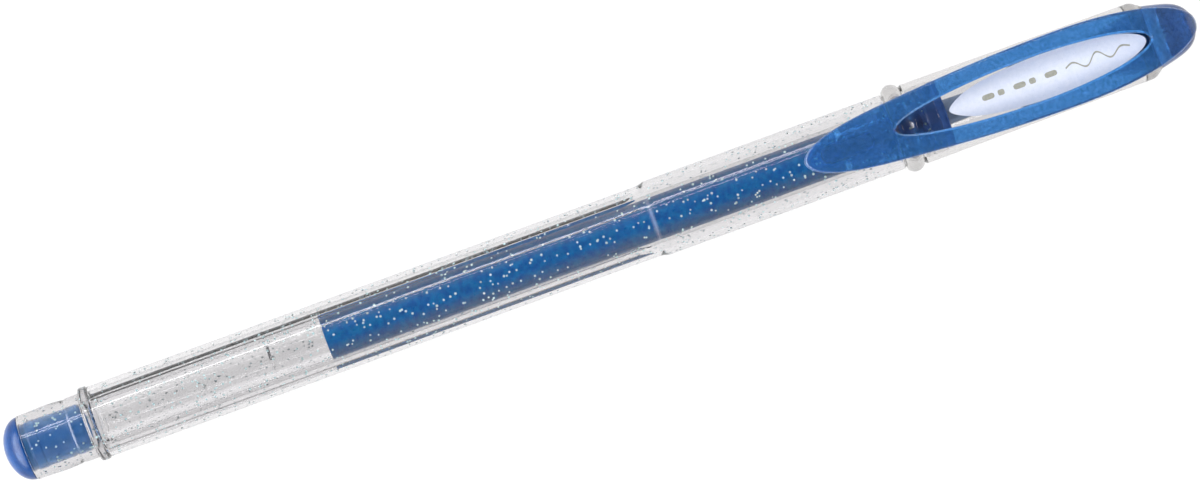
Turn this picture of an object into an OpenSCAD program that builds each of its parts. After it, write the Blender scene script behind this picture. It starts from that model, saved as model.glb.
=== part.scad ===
// Capped gel pen with a clear barrel, lying on its side with the pocket clip up.
// Every place along the pen is a distance from the tail end; every height is above the pen's axis.

/* [Pen] */
// Whole length with the cap on
pen_length = 149.3; // [145:0.1:155]

/* [Barrel] */
// Diameter of the slim rear barrel
barrel_d = 8.74; // [8.6:0.02:8.9]
// Diameter of the thicker grip
grip_d = 9.24; // [9.1:0.02:9.3]
// Diameter of the seat that the cap slides onto
seat_d = 8.50; // [8.40:0.02:8.54]
// Diameter of the neck behind the collar
neck_d = 8.00; // [7.8:0.02:8.1]
// Diameter of the collar at the tail
collar_d = 9.08; // [9.08:0.02:9.2]
// Diameter of the rear bore, which leaves a wall of about half a millimetre
rear_bore_d = 7.70; // [7.6:0.02:7.8]
// Diameter of the bore through the grip and the seat
grip_bore_d = 7.86; // [7.82:0.02:7.9]
// Diameter of the neck's bore, which the tail plug closes
neck_bore_d = 6.00; // [5.9:0.02:6.02]
// Height of the long ribs that centre the refill in the rear bore
rib_height = 0.45; // [0.3:0.05:0.65]
// Width of those ribs
rib_width = 1.2; // [0.6:0.1:1.6]
// Number of those ribs
rib_count = 4; // [2:1:5]

/* [Refill] */
// Outer diameter of the refill tube
tube_d = 6.04; // [6.02:0.02:6.3]
// Inner diameter of the refill tube
tube_bore_d = 3.44; // [3.2:0.02:4]
// Where the ink ends at the rear, from the tail
ink_rear = 40.2; // [30:0.2:90]
// Length of the clear grease plug behind the ink
follower_length = 7.0; // [4:0.5:10]
// Diameter of the writing ball
ball_d = 0.70; // [0.5:0.1:1]
// Diameter of the backflow valve ball
valve_ball_d = 1.60; // [1.4:0.1:1.8]

/* [Cap] */
// Outer diameter of the cap tube behind its rim bead
cap_rim_d = 9.88; // [9.7:0.02:10]
// Outer diameter of the cap tube at its closed end
cap_end_d = 9.46; // [9.3:0.02:9.6]
// Outer diameter of the bead round the cap's rim
bead_d = 10.80; // [10.6:0.1:11]
// Bore of the cap where it grips the barrel's seat
cap_bore_d = 8.60; // [8.56:0.02:8.7]
// Outer diameter of the inner cap that seals the point
inner_cap_d = 6.12; // [5.8:0.02:6.2]

/* [Clip] */
// Greatest width of the teardrop clip
clip_width = 9.16; // [8.6:0.02:9.4]
// Greatest width of the window in the clip
window_width = 5.20; // [4.6:0.1:5.4]
// Thickness of the clip in the middle
clip_thick = 1.5; // [1.2:0.1:1.8]
// Height of the clip's underside above the pen's axis
clip_under = 5.6; // [5.55:0.05:6]

/* [Hidden] */
$fn = 64;

// Overlap where two pieces of one part meet, and how far a cut runs past a face
eps = 0.01;
over = 1;

// Places along the pen, as distances from the tail end
dome_length = 2.66;
collar_from = 10.5;
collar_to = 11.5;
step_from = pen_length - 68.4;
step_to = step_from + 0.8;
rib_end = step_from - 1.9;
rib_turn = 146;
rim_at = pen_length - 37.9;
barrel_end = pen_length - 32.4;
holder_face = barrel_end + 1.0;
boss_end = holder_face + 5.0;
cone_from = boss_end + 3.4;
ball_at = boss_end + 6.05;
bead_width = 2.4;
bead_setback = 0.1;
seal_from = ball_at + ball_d / 2 + 0.10;
seal_to = seal_from + 2.0;
inner_cap_from = pen_length - 22.6;
cap_chamfer_from = pen_length - 6.5;
crown_from = pen_length - 5.4;
foot_from = pen_length - 5.0;

// Tail plug
dome_d = 7.78;
plug_spigot_d = neck_bore_d - 0.2;
plug_spigot_end = 10.3;
plug_ring_from = 3.4;
plug_ring_to = 4.6;
plug_nub_d = 2.6;
plug_nub_end = 12.2;

// Refill
tube_from = 12.3;
tube_to = barrel_end - 5.7;
spigot_from = tube_to - 6.2;
follower_gap = 0.03;
ink_to = spigot_from;
channel_d = 1.0;
chamber_d = 2.3;
valve_seat_at = tube_to + 1.6;
valve_seat_len = 0.65;
shank_from = valve_seat_at + 3.4;
valve_ball_at = valve_seat_at + 1.45;
holder_body_d = grip_bore_d - 0.04;
flange_d = 8.2;
boss_d = 3.1;
boss_tip_d = 2.8;

// Metal point
point_d = 2.3;
point_tip_d = 0.86;
point_lip = 0.12;
point_bore_past = 0.6;
point_bore_d = 1.2;
feed_d = 0.4;
socket_gap = 0.01;
notch_w = 0.5;
notch_deep = 0.5;

// Cap
cap_end_bore_d = 8.2;
cap_grip_to = rim_at + 8;
cap_bore_to = cap_chamfer_from - 1;
cap_mouth_d = 6.4;
cap_chamfer_d = 7.86;
bead_round = bead_width / 2;
crown_d = 7.86;
crown_length = pen_length - crown_from;
crown_seat = 2.6;
crown_cone = 0.33;
crown_blunt = 5.5;
crown_seat_from = foot_from - 0.3;
core_d = 4.2;
core_from = inner_cap_from + 6.5;
inner_bore_d = 2.7;
inner_mouth_d = 4.4;
inner_mouth_len = 1.6;

// Clip
clip_from = pen_length - 49.2;
clip_to = pen_length - 0.1;
clip_wide_at = pen_length - 16.8;
window_from = pen_length - 37.9;
window_to = pen_length - 5.55;
window_wide_at = pen_length - 20.3;
root_curve_from = pen_length - 9.3;
foot_gap = 0.05;
foot_level = crown_seat + foot_gap;
clip_end_thick = 0.9;
clip_tall = 3;

// Shape of the clip's outline, its window and its arch
clip_round = 2.15;
clip_wave = 0.1;
clip_wave_pull = 1.3;
window_drawn = 1.8;
arch_rise = 1.6;

// Gripping rib under the clip
rib_from = pen_length - 47.1;
rib_to = pen_length - 40.6;
rib_w = 2.2;
rib_bottom = grip_d / 2 + 0.13;
rib_let_in = 0.3;

// Label on the cap
label_from = pen_length - 31.1;
label_to = pen_length - 6.6;
label_width = 5.2;
label_thick = 0.10;

axis_height = bead_d / 2;

// A fraction from 0 to 1 with its steps close together at both ends
function eased(n) = [for (i = [0 : n]) (1 - cos(180 * i / n)) / 2];

// Half width of the clip: a full round end at the crown, a drawn-out one at the free end
function clip_half(s) = s > clip_wide_at
    ? clip_width / 2 * sqrt(max(0, 1 - pow((s - clip_wide_at) / (clip_to - clip_wide_at), clip_round)))
    : let (x = (clip_wide_at - s) / (clip_wide_at - clip_from))
      clip_width / 2 * sqrt(max(0, 1 - x * x * (1 + clip_wave * sin(360 * pow(x, clip_wave_pull)))));

// Half width of the window, more drawn out towards the free end
function window_half(s) = s > window_wide_at
    ? window_width / 2 * sqrt(max(0, 1 - pow((s - window_wide_at) / (window_to - window_wide_at), 2)))
    : window_width / 2 * sqrt(max(0, 1 - pow((window_wide_at - s) / (window_wide_at - window_from), window_drawn)));

function label_half(s) = let (x = (2 * s - label_from - label_to) / (label_to - label_from))
    label_width / 2 * sqrt(max(0, 1 - x * x));

// Height of the clip's top: a shallow arch, then a quarter ellipse down to the crown
function arch(s) = clip_under + clip_end_thick
    + (clip_thick - clip_end_thick) * sin(min(90, 90 * (s - clip_from) / (root_curve_from - clip_from) * arch_rise));
function clip_top(s) = s < root_curve_from ? arch(s)
    : foot_level + (arch(root_curve_from) - foot_level)
      * sqrt(max(0, 1 - pow((s - root_curve_from) / (clip_to - root_curve_from), 2)));

// Radius of the crown: a slight cone that rounds off to a blunt end
function crown_r(x) = crown_d / 2 * (1 - crown_cone * x) * sqrt(max(0, 1 - pow(x, crown_blunt)));

// Turns a part built up along Z, tail first, so that it lies along X at the axis height
module lay() {
    translate([-pen_length / 2, 0, axis_height]) rotate([0, 90, 0]) children();
}

// A straight round length between two places along the pen
module rod(from, to, d) {
    translate([0, 0, from]) cylinder(h = to - from, d = d);
}

// A tapered round length between two places along the pen
module taper(from, to, d_from, d_to) {
    translate([0, 0, from]) cylinder(h = to - from, d1 = d_from, d2 = d_to);
}

// Carries a plan outline, whose x runs along the pen, up through a band of heights
module upright(low, high) {
    translate([-pen_length / 2, 0, axis_height + low]) linear_extrude(high - low) children();
}

// An outline mirrored about the pen's axis, from one list of [place, half width]
module two_sided(half) {
    n = len(half) - 1;
    polygon(concat(half, [for (i = [n - 1 : -1 : 1]) [half[i][0], -half[i][1]]]));
}

module barrel() {
    color([0.90, 0.90, 0.89, 0.4]) lay() {
        difference() {
            union() {
                rod(dome_length, collar_from, neck_d);
                rod(collar_from, collar_to, collar_d);
                rod(collar_to, step_from, barrel_d);
                taper(step_from, step_to, barrel_d, grip_d);
                rod(step_to, rim_at, grip_d);
                rod(rim_at, barrel_end, seat_d);
            }
            rod(dome_length - over, collar_to + over, neck_bore_d);
            rod(collar_to, step_from, rear_bore_d);
            taper(step_from - eps, step_to, rear_bore_d, grip_bore_d);
            rod(step_to - eps, barrel_end + over, grip_bore_d);
        }
        centring_ribs();
    }
}

// Long ribs on the wall of the rear bore, which keep the refill on the axis
module centring_ribs() {
    rib_top = rear_bore_d / 2 - rib_height;
    root_depth = 0.25;
    for (i = [0 : rib_count - 1]) rotate([0, 0, 360 / rib_count * i + rib_turn])
        translate([rib_top, -rib_width / 2, collar_to])
            cube([rib_height + root_depth, rib_width, rib_end - collar_to]);
}

module tail_plug() {
    color([0.10, 0.34, 0.68]) lay() {
        rotate_extrude() polygon(concat([[0, dome_length]],
            [for (a = [0 : 6 : 90]) [dome_d / 2 * cos(a), dome_length * (1 - sin(a))]]));
        rod(dome_length, plug_spigot_end, plug_spigot_d);
        rod(plug_ring_from, plug_ring_to, neck_bore_d);
        rod(plug_spigot_end, plug_nub_end, plug_nub_d);
    }
}

module refill_tube() {
    color([0.92, 0.92, 0.93, 0.4]) lay() difference() {
        rod(tube_from, tube_to, tube_d);
        rod(tube_from - over, tube_to + over, tube_bore_d);
    }
}

module ink_column() {
    color([0.10, 0.30, 0.62]) lay() rod(ink_rear, ink_to, tube_bore_d - 2 * eps);
}

module grease_follower() {
    color([0.93, 0.92, 0.88, 0.5]) lay()
        rod(ink_rear - follower_length, ink_rear - 2 * eps, tube_bore_d - 2 * follower_gap);
}

module tip_holder() {
    color([0.12, 0.28, 0.60]) lay() difference() {
        union() {
            rod(spigot_from, tube_to, tube_bore_d - 2 * eps);
            rod(tube_to, barrel_end, holder_body_d);
            rod(barrel_end, holder_face, flange_d);
            taper(holder_face, boss_end, boss_d, boss_tip_d);
        }
        rod(spigot_from - over, valve_seat_at + eps, channel_d);
        taper(valve_seat_at, valve_seat_at + valve_seat_len, channel_d, chamber_d);
        rod(valve_seat_at + valve_seat_len - eps, boss_end + over, chamber_d);
    }
}

module valve_ball() {
    color("silver") lay() translate([0, 0, valve_ball_at]) sphere(d = valve_ball_d);
}

// The drawn metal point: its shank closes the valve chamber, its nose holds the ball
module metal_point() {
    color([0.80, 0.78, 0.74]) lay() difference() {
        union() {
            rod(shank_from, cone_from, point_d);
            taper(cone_from, ball_at + point_lip, point_d, point_tip_d);
        }
        rod(shank_from - over, cone_from + point_bore_past, point_bore_d);
        rod(cone_from, ball_at, feed_d);
        translate([0, 0, ball_at]) sphere(d = ball_d + 2 * socket_gap);
        for (a = [0, 90]) rotate([0, 0, a])
            translate([-point_d, -notch_w / 2, shank_from - over])
                cube([2 * point_d, notch_w, over + notch_deep]);
    }
}

module writing_ball() {
    color([0.35, 0.36, 0.38]) lay() translate([0, 0, ball_at]) sphere(d = ball_d);
}

module cap_tube() {
    color([0.93, 0.93, 0.95, 0.35]) lay() difference() {
        union() {
            taper(rim_at, cap_chamfer_from, cap_rim_d, cap_end_d);
            taper(cap_chamfer_from, crown_from, cap_end_d, cap_chamfer_d);
            rotate_extrude() translate([bead_d / 2 - bead_round, rim_at + bead_setback + bead_round])
                circle(r = bead_round);
        }
        rod(rim_at - over, cap_grip_to, cap_bore_d);
        taper(cap_grip_to - eps, cap_bore_to, cap_bore_d, cap_end_bore_d);
        rod(cap_bore_to - over, crown_from + over, cap_mouth_d);
    }
}

module inner_cap() {
    color([0.16, 0.40, 0.74]) lay() difference() {
        rod(inner_cap_from, cap_chamfer_from, inner_cap_d);
        taper(inner_cap_from - eps, inner_cap_from + inner_mouth_len, inner_mouth_d, inner_bore_d);
        rod(inner_cap_from + inner_mouth_len - eps, seal_to, inner_bore_d);
        rod(core_from, cap_chamfer_from + over, core_d);
    }
}

module tip_seal() {
    color([0.85, 0.85, 0.82]) lay() rod(seal_from, seal_to, inner_bore_d);
}

// Bullet-shaped end of the cap, with a flat seat for the clip's foot and a core for the inner cap
module crown() {
    color([0.10, 0.32, 0.66]) {
        difference() {
            lay() rotate_extrude() polygon(concat([[0, crown_from]],
                [for (x = [for (f = eased(16)) f]) [crown_r(x), crown_from + crown_length * x]]));
            translate([crown_seat_from - pen_length / 2, -crown_d, axis_height + crown_seat])
                cube([crown_length + over, 2 * crown_d, crown_d]);
        }
        lay() {
            rod(cap_chamfer_from, crown_from, cap_mouth_d);
            rod(core_from, cap_chamfer_from, core_d);
        }
    }
}

module label_panel() {
    color([0.90, 0.91, 0.95]) intersection() {
        lay() difference() {
            taper(rim_at, cap_chamfer_from, cap_rim_d + 2 * label_thick, cap_end_d + 2 * label_thick);
            taper(rim_at, cap_chamfer_from, cap_rim_d, cap_end_d);
        }
        upright(0, clip_under) two_sided([for (f = eased(20))
            let (s = label_from + f * (label_to - label_from)) [s, label_half(s)]]);
    }
}

// Side view of the clip, extruded across its width
module clip_side() {
    top = [for (f = eased(28)) let (s = clip_from + f * (clip_to - clip_from)) [s, clip_top(s)]];
    translate([-pen_length / 2, clip_width, axis_height]) rotate([90, 0, 0])
        linear_extrude(2 * clip_width) polygon(concat(top,
            [[foot_from, foot_level], [foot_from, clip_under], [clip_from, clip_under]]));
}

module clip() {
    color([0.20, 0.45, 0.74]) {
        difference() {
            intersection() {
                upright(0, clip_under + clip_tall) two_sided([for (f = eased(28))
                    let (s = clip_from + f * (clip_to - clip_from)) [s, clip_half(s)]]);
                clip_side();
            }
            upright(0, clip_under + clip_tall + over) two_sided([for (f = eased(24))
                let (s = window_from + f * (window_to - window_from)) [s, window_half(s)]]);
        }
        // The rib under the free end that presses on the pocket
        upright(rib_bottom, clip_under + rib_let_in) {
            translate([rib_from + rib_w / 2, 0]) circle(d = rib_w);
            translate([rib_to - rib_w / 2, 0]) circle(d = rib_w);
            translate([rib_from + rib_w / 2, -rib_w / 2]) square([rib_to - rib_from - rib_w, rib_w]);
        }
    }
}

barrel();
tail_plug();
refill_tube();
ink_column();
grease_follower();
tip_holder();
valve_ball();
metal_point();
writing_ball();
cap_tube();
inner_cap();
tip_seal();
crown();
label_panel();
clip();
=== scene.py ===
# %% [markdown]
# # A capped gel pen
# The pen is a set of clear shells round a thread of blue ink. Nearly all that the eye sees is light
# bent by plastic, so the walls, the bores and the gaps of air between them have their true sizes.
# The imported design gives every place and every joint, and this file makes the surfaces and the
# finishes. Its CAD nodes load first, and each is hidden when a smoother piece stands in for it.

# %% Load the frame
import math

import bpy
import numpy as np
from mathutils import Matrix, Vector


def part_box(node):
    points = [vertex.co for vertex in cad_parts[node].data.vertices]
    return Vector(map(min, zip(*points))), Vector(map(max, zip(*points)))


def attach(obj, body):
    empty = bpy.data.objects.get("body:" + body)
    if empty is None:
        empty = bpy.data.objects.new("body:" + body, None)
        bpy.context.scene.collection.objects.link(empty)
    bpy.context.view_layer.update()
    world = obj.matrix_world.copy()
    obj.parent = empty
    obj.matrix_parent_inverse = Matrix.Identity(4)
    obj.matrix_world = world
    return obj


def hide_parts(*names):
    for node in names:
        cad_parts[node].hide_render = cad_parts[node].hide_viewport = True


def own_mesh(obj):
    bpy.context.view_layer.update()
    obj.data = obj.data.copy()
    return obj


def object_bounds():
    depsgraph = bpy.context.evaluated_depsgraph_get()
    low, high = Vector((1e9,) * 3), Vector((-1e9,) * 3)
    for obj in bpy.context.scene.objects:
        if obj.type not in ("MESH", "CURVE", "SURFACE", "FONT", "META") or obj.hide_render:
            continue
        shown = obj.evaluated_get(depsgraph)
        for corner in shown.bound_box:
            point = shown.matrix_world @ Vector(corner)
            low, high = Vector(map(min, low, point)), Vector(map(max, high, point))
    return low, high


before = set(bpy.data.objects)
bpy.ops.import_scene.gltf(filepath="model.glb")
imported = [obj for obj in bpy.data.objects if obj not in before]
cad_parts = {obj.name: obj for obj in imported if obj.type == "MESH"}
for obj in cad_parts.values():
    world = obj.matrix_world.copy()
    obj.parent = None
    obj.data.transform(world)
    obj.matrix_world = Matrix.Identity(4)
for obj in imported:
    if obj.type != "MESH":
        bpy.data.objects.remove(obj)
cad_low, cad_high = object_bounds()

# %% [markdown]
# ## Places along the pen
# A pen is drawn on a centre line. Each shape below is given in millimetres: a place along the pen,
# counted from the tail, and a radius or a height from the axis, as on a lathe drawing. The places
# come from the boxes of the design's own nodes, so nothing has to be fitted by eye afterwards.

# %% Read the places from the design
MM = 0.001
TAIL_X = cad_low.x
AXIS_HEIGHT = 5.4
AXIS_Z = AXIS_HEIGHT * MM


def ends(node):
    """The first and last place of a node along the pen, in millimetres from the tail."""
    low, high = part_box(node)
    return (low.x - TAIL_X) / MM, (high.x - TAIL_X) / MM


def in_metres(rings):
    """Rings of (place, across, up) in millimetres, as points of the frame in metres."""
    place, across, up = (rings[..., k] * MM for k in range(3))
    return np.stack([TAIL_X + place, across, AXIS_Z + up], 2)


def radius(node):
    """Half a node's width across the pen, in millimetres."""
    low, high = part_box(node)
    return (high.y - low.y) / 2 / MM


def spot(place, across=0.0, up=0.0):
    """A point in metres: along the pen from the tail, sideways, and above the axis."""
    return TAIL_X + place * MM, across * MM, AXIS_Z + up * MM


PEN_END = ends("crown")[1]
BARREL_FROM, BARREL_TO = ends("barrel")
RIM_AT = ends("cap_tube")[0]
CROWN_AT = ends("cap_tube")[1]
TUBE_FROM, TUBE_TO = ends("refill_tube")
INK_FROM, INK_TO = ends("ink_column")
print(f"pen {PEN_END:.1f} mm, barrel to {BARREL_TO:.1f}, cap from {RIM_AT:.1f}")
print(f"ink from {INK_FROM:.1f} to {INK_TO:.1f} mm")

# %% [markdown]
# ## From numbers to surfaces
# Every piece is a stack of rings: closed loops of points that are joined to the next loop by a band
# of quads. A turned part has round rings, and a clip has flat ones. A stack either closes at both
# ends on a single point, or runs back into its own first ring, as the wall of a tube does.


# %% A skin over rings
def skin(name, rings, start=None, end=None, sharp=35):
    """Joins ring i to ring i + 1. With start and end points it is a closed lump, and without them
    the last ring joins the first. Faces are turned outwards when the enclosed volume, the sum of
    each triangle's corner products over six, comes out negative."""
    count, around = rings.shape[:2]
    verts = rings.reshape(-1, 3)
    row = np.arange(around)
    nxt = np.roll(row, -1)
    bands = count if start is None else count - 1
    quads = [
        np.stack([i * around + row, i * around + nxt, j * around + nxt, j * around + row], 1)
        for i, j in ((k, (k + 1) % count) for k in range(bands))
    ]
    quads = np.concatenate(quads)
    split = np.concatenate([quads[:, [0, 1, 2]], quads[:, [0, 2, 3]]])
    faces = quads.tolist()
    if start is not None:
        verts = np.concatenate([verts, [start, end]])
        tail, nose = count * around, count * around + 1
        last = (count - 1) * around
        fan_a = np.stack([np.full(around, tail), nxt, row], 1)
        fan_b = np.stack([np.full(around, nose), last + row, last + nxt], 1)
        split = np.concatenate([split, fan_a, fan_b])
        faces += fan_a.tolist() + fan_b.tolist()
    centred = verts - verts.mean(0)
    a, b, c = (centred[split[:, k]] for k in range(3))
    if np.einsum("ij,ij->i", a, np.cross(b, c)).sum() < 0:
        faces = [face[::-1] for face in faces]
    return finish_mesh(name, verts, faces, sharp)


def finish_mesh(name, verts, faces, sharp=35):
    """Puts points and faces in a mesh object at the origin, smooth but for edges over an angle."""
    mesh = bpy.data.meshes.new(name)
    mesh.from_pydata(np.asarray(verts).tolist(), [], faces)
    mesh.update()
    mesh.shade_smooth()
    mesh.set_sharp_from_angle(angle=math.radians(sharp))
    piece = bpy.data.objects.new(name, mesh)
    bpy.context.scene.collection.objects.link(piece)
    return piece


# %% [markdown]
# ## Rounded edges
# A moulded edge is never knife-sharp, and in clear plastic a rounded edge draws a line of light. A
# profile is a list of corners, each with its own rounding. A bevel modifier could round them, but
# not each by its own size. Straight runs get a pair of points close to each rounding, so that the
# smooth shading of the bend doesn't leak along the straight wall, where it would look like a lens.


# %% Round the corners of a profile
def rounded(corners, closed, steps=5, guard=0.08):
    """Replaces each corner by a quadratic curve. The curve leaves and joins the straight sides at
    the corner's rounding distance, and one guard point stands a little way out on either side."""
    pts = np.array([c[:2] for c in corners], float)
    sizes = [c[2] if len(c) > 2 else 0.0 for c in corners]
    out = []
    for k, (p, size) in enumerate(zip(pts, sizes)):
        if size == 0 or (not closed and k in (0, len(pts) - 1)):
            out.append(p[None])
            continue
        before, after = pts[k - 1] - p, pts[(k + 1) % len(pts)] - p
        lengths = np.linalg.norm(before), np.linalg.norm(after)
        size = min(size, 0.45 * lengths[0], 0.45 * lengths[1])
        a, b = p + before / lengths[0] * size, p + after / lengths[1] * size
        t = np.linspace(0, 1, steps + 1)[:, None]
        curve = (1 - t) ** 2 * a + 2 * t * (1 - t) * p + t**2 * b
        extra = [min(guard, 0.04 * length) for length in lengths]
        first = a + before / lengths[0] * extra[0]
        last = b + after / lengths[1] * extra[1]
        out.append(np.concatenate([first[None], curve, last[None]]))
    return np.concatenate(out)


# %% [markdown]
# ## Turned parts
# Nearly every piece of a pen is round, as if it came off a lathe. Blender can spin a profile with a
# modifier, but here each ring may also dip in at some angles, which makes ribs and flats. So the
# rings are worked out as one grid of numbers, a profile by a list of angles.


# %% Turn a profile into rings
def turn(profile, angles, inset=None):
    """Rings of a turned part: each point stands at its radius from the axis, at each angle from
    straight up. inset(places, angles) takes a little off the radius, for ribs and flats."""
    place, r = profile[:, :1], profile[:, 1:2]
    r = r - (inset(place, angles[None, :], r) if inset else 0.0)
    grid = r.shape if r.shape[1] > 1 else (len(place), len(angles))
    x = np.broadcast_to(TAIL_X + place * MM, grid)
    y = r * np.sin(angles) * MM
    z = AXIS_Z + r * np.cos(angles) * MM
    return np.stack([x, y, z], 2)


def circle(count=144):
    """Evenly spaced angles round the pen."""
    return np.linspace(0, 2 * np.pi, count, endpoint=False)


def lathe(name, corners, angles=None, inset=None):
    """A turned part. Corners that start and end on the axis make a solid, others make a wall."""
    solid = corners[0][1] == 0
    profile = rounded(corners, closed=not solid)
    angles = circle() if angles is None else angles
    if not solid:
        return skin(name, turn(profile, angles, inset))
    rings = turn(profile[1:-1], angles, inset)
    return skin(name, rings, spot(profile[0, 0]), spot(profile[-1, 0]))


# %% [markdown]
# ## Finishes
# Each finish is a small node tree on Object coordinates, so that its grain has a real size and
# doesn't swim when the piece moves. Three small helpers do most of the work: noise makes a texture,
# spread and tint turn it into a number or a colour, and bump turns it into relief.


# %% Node helpers
def new_finish(name, **values):
    """A material with one Principled shader, its sockets set by name with _ for a space."""
    finish = bpy.data.materials.new(name)
    finish.use_nodes = True
    shader = finish.node_tree.nodes["Principled BSDF"]
    for key, value in values.items():
        shader.inputs[key.replace("_", " ")].default_value = value
    return finish, finish.node_tree, shader


def noise(tree, per_mm, detail=2.0, stretch=(1, 1, 1)):
    """Noise on Object coordinates with about per_mm grains in a millimetre."""
    where = tree.nodes.new("ShaderNodeTexCoord")
    turn_to = tree.nodes.new("ShaderNodeMapping")
    grain = tree.nodes.new("ShaderNodeTexNoise")
    turn_to.inputs["Scale"].default_value = stretch
    grain.inputs["Scale"].default_value = per_mm / MM
    grain.inputs["Detail"].default_value = detail
    tree.links.new(where.outputs["Object"], turn_to.inputs["Vector"])
    tree.links.new(turn_to.outputs["Vector"], grain.inputs["Vector"])
    return grain.outputs["Fac"]


def spread(tree, value, low, high):
    """Maps a texture's middle range onto low to high."""
    ramp = tree.nodes.new("ShaderNodeMapRange")
    ramp.inputs["From Min"].default_value = 0.3
    ramp.inputs["From Max"].default_value = 0.7
    ramp.inputs["To Min"].default_value = low
    ramp.inputs["To Max"].default_value = high
    tree.links.new(value, ramp.inputs["Value"])
    return ramp.outputs["Result"]


def tint(tree, value, dark, light):
    """A colour that wanders between two near neighbours."""
    ramp = tree.nodes.new("ShaderNodeValToRGB")
    ramp.color_ramp.elements[0].position = 0.35
    ramp.color_ramp.elements[0].color = (*dark, 1)
    ramp.color_ramp.elements[1].position = 0.65
    ramp.color_ramp.elements[1].color = (*light, 1)
    tree.links.new(value, ramp.inputs["Fac"])
    return ramp.outputs["Color"]


def bump(tree, shader, value, height_mm, strength=1.0):
    """Raises the surface by the texture, up to a height in millimetres."""
    relief = tree.nodes.new("ShaderNodeBump")
    relief.inputs["Strength"].default_value = strength
    relief.inputs["Distance"].default_value = height_mm * MM
    tree.links.new(value, relief.inputs["Height"])
    tree.links.new(relief.outputs["Normal"], shader.inputs["Normal"])


# %% [markdown]
# ## Clear plastic
# Clear resin is nearly all refraction, with a very fine unevenness from the mould. Tinting only the
# surface would grey every wall alike. Real resin takes a little light from each millimetre, so the
# edges, where the eye looks along the wall, come out darker than the middle. The loss in depth is
# what gives the barrel and the cap their grey outlines.


# %% Clear plastics
FLOW_PER_MM, FLOW_STRETCH, CLEAR_ROUGH = 0.35, (0.25, 1, 1), 0.012


def clear_plastic(name, dark, light, ior, wave_mm, loss=None):
    """Polished clear resin: full transmission, a hint of colour, and a long shallow flow bump. loss
    is the share of red, green and blue that a millimetre of the resin takes, for small shares."""
    finish, tree, shader = new_finish(name, Transmission_Weight=1.0, IOR=ior)
    if loss:
        depth = tree.nodes.new("ShaderNodeVolumeAbsorption")
        depth.inputs["Color"].default_value = (*(1 - share for share in loss), 1)
        depth.inputs["Density"].default_value = 1 / MM
        tree.links.new(depth.outputs["Volume"], tree.nodes["Material Output"].inputs["Volume"])
    colour = tint(tree, noise(tree, 0.25), dark, light)
    tree.links.new(colour, shader.inputs["Base Color"])
    tree.links.new(spread(tree, noise(tree, 1.5), 0.0, CLEAR_ROUGH), shader.inputs["Roughness"])
    bump(tree, shader, noise(tree, FLOW_PER_MM, stretch=FLOW_STRETCH), wave_mm)
    return finish


CLEAR_BARREL = clear_plastic(
    "clear_barrel", (0.97, 0.965, 0.97), (0.985, 0.98, 0.985), 1.55, 0.0002, (0.16, 0.165, 0.16))
CLEAR_CAP = clear_plastic(
    "clear_cap", (0.96, 0.955, 0.96), (0.98, 0.975, 0.98), 1.50, 0.0004, (0.19, 0.195, 0.20))
CLEAR_TUBE = clear_plastic("clear_tube", (0.98, 0.98, 0.985), (0.995, 0.995, 0.995), 1.49, 0.0004)
GREASE = clear_plastic("grease", (0.96, 0.96, 0.96), (0.99, 0.99, 0.99), 1.03, 0.004)
print("clear finishes:", CLEAR_BARREL.name, CLEAR_CAP.name, CLEAR_TUBE.name, GREASE.name)

# %% [markdown]
# ## Blue plastic
# The clip, the crown, the plug and the sleeve are one blue resin that is partly see-through. How
# deep it looks depends on its thickness and on what lies behind, so each moulding has its own pair
# of blues and its own share of transmission. The clip is paler over the clear cap for that reason.


# %% Blue plastics
def blue_plastic(name, dark, light, rough, wave_mm, per_mm=0.9, clear=1.0, **values):
    """Blue resin: a tinted window whose colour and thickness wander a little."""
    finish, tree, shader = new_finish(name, Transmission_Weight=clear, IOR=1.53, **values)
    colour = tint(tree, noise(tree, per_mm, 3), dark, light)
    gloss = spread(tree, noise(tree, 2.0), 0.5 * rough, 1.5 * rough)
    tree.links.new(colour, shader.inputs["Base Color"])
    tree.links.new(gloss, shader.inputs["Roughness"])
    bump(tree, shader, noise(tree, per_mm * 1.4, 2), wave_mm)
    return finish


CLIP_BLUE = blue_plastic(
    "clip_blue", (0.045, 0.21, 0.52), (0.10, 0.32, 0.72), 0.08, 0.010, 2.4, clear=0.80)
CROWN_BLUE = blue_plastic(
    "crown_blue", (0.01, 0.08, 0.32), (0.02, 0.11, 0.40), 0.10, 0.006, clear=0.6)
SLEEVE_BLUE = blue_plastic(
    "sleeve_blue", (0.10, 0.28, 0.62), (0.15, 0.36, 0.70), 0.12, 0.006, clear=0.6)
PLUG_BLUE = blue_plastic(
    "plug_blue", (0.004, 0.065, 0.28), (0.010, 0.095, 0.35), 0.16, 0.006, clear=0.6,
    Specular_IOR_Level=0.12)
SPIGOT_BLUE = blue_plastic(
    "spigot_blue", (0.16, 0.50, 0.98), (0.24, 0.58, 1.0), 0.15, 0.003, clear=0.6)
HOLDER_BLUE = blue_plastic(
    "holder_blue", (0.09, 0.22, 0.66), (0.13, 0.28, 0.78), 0.12, 0.003, clear=0.5)
BOSS_BLUE = blue_plastic(
    "boss_blue", (0.30, 0.42, 0.62), (0.38, 0.50, 0.70), 0.15, 0.006, clear=0.5)
print("blue finishes:", CLIP_BLUE.name, CROWN_BLUE.name, SLEEVE_BLUE.name, PLUG_BLUE.name)
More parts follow.
